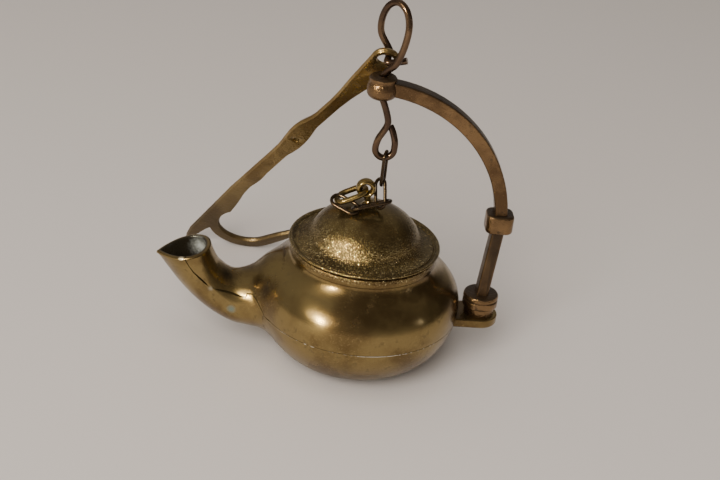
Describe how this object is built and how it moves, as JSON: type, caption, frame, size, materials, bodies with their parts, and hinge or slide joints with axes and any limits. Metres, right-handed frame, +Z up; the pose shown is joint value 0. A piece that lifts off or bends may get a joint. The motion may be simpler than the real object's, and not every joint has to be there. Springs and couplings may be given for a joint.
{
  "type": "hanging oil lamp",
  "caption": "Brass oil lamp with a spout, a lidded neck with a chain, an arched bar, a swivel loop and a flat hanger arm with a hook.",
  "frame": {"origin": "centre of the base's flat on the table", "axes": "+Z up along the reservoir's axis, -X towards the spout, +X towards the lug of the arched bar"},
  "size_m": [0.1116, 0.1017, 0.1218],
  "materials": {
    "brass_shell": "aged, turned and hand polished",
    "brass_dark": "aged casting with dark recesses",
    "wire_brown": "reddish brown drawn wire",
    "chain_brown": "dull brown and grey"
  },
  "bodies": {
    "lamp": {"lower_shell": "brass_shell", "upper_shell": "brass_shell", "arch": "brass_dark", "foot_rivet": "brass_dark"},
    "swivel": {"swivel_wire": "wire_brown"},
    "hanger": {"hanger_arm": "brass_dark"},
    "lid": {"lid": "brass_shell", "lid_eye": "brass_dark"},
    "ring": {"lid_ring": "brass_shell"},
    "chain_1": {"link_1": "chain_brown"},
    "chain_2": {"link_2": "chain_brown"},
    "chain_3": {"link_3": "chain_brown"},
    "chain_4": {"link_4": "chain_brown"}
  },
  "joints": [
    {"name": "swivel_turn", "type": "hinge", "parent": "lamp", "child": "swivel", "pos_m": [0, 0, 0.0945], "axis": [0, 0, 1], "range_deg": [-42, 38]},
    {"name": "arm_swing", "type": "hinge", "parent": "swivel", "child": "hanger", "pos_m": [0.001, 0.0025, 0.1032], "axis": [0.1001, 0.8619, 0.4971], "range_deg": [0, 95]},
    {"name": "lid_lift", "type": "slide", "parent": "swivel", "child": "lid", "axis": [0, 0, 1], "range_m": [0, 0.005]},
    {"name": "ring_swing", "type": "hinge", "parent": "lid", "child": "ring", "pos_m": [-0.00145, 0, 0.05982], "axis": [0, 1, 0], "range_deg": [-1, 0.5]},
    {"name": "chain_4_swing", "type": "hinge", "parent": "ring", "child": "chain_4", "pos_m": [-0.01018, 0, 0.05537], "axis": [0, 1, 0], "range_deg": [-0.3, 0.5]},
    {"name": "chain_3_swing", "type": "hinge", "parent": "chain_4", "child": "chain_3", "pos_m": [-0.00379, -0.00529, 0.0546], "axis": [0.5376, 0.6748, 0.5056], "range_deg": [-0.5, 0.5]},
    {"name": "chain_2_swing", "type": "hinge", "parent": "chain_3", "child": "chain_2", "pos_m": [0.00626, -0.00383, 0.05823], "axis": [0.0186, 0.9547, -0.297], "range_deg": [-0.5, 1]},
    {"name": "chain_1_swing", "type": "hinge", "parent": "swivel", "child": "chain_1", "pos_m": [0.0029, 0, 0.071], "axis": [1, 0, 0], "range_deg": [-1, 2]}
  ]
}
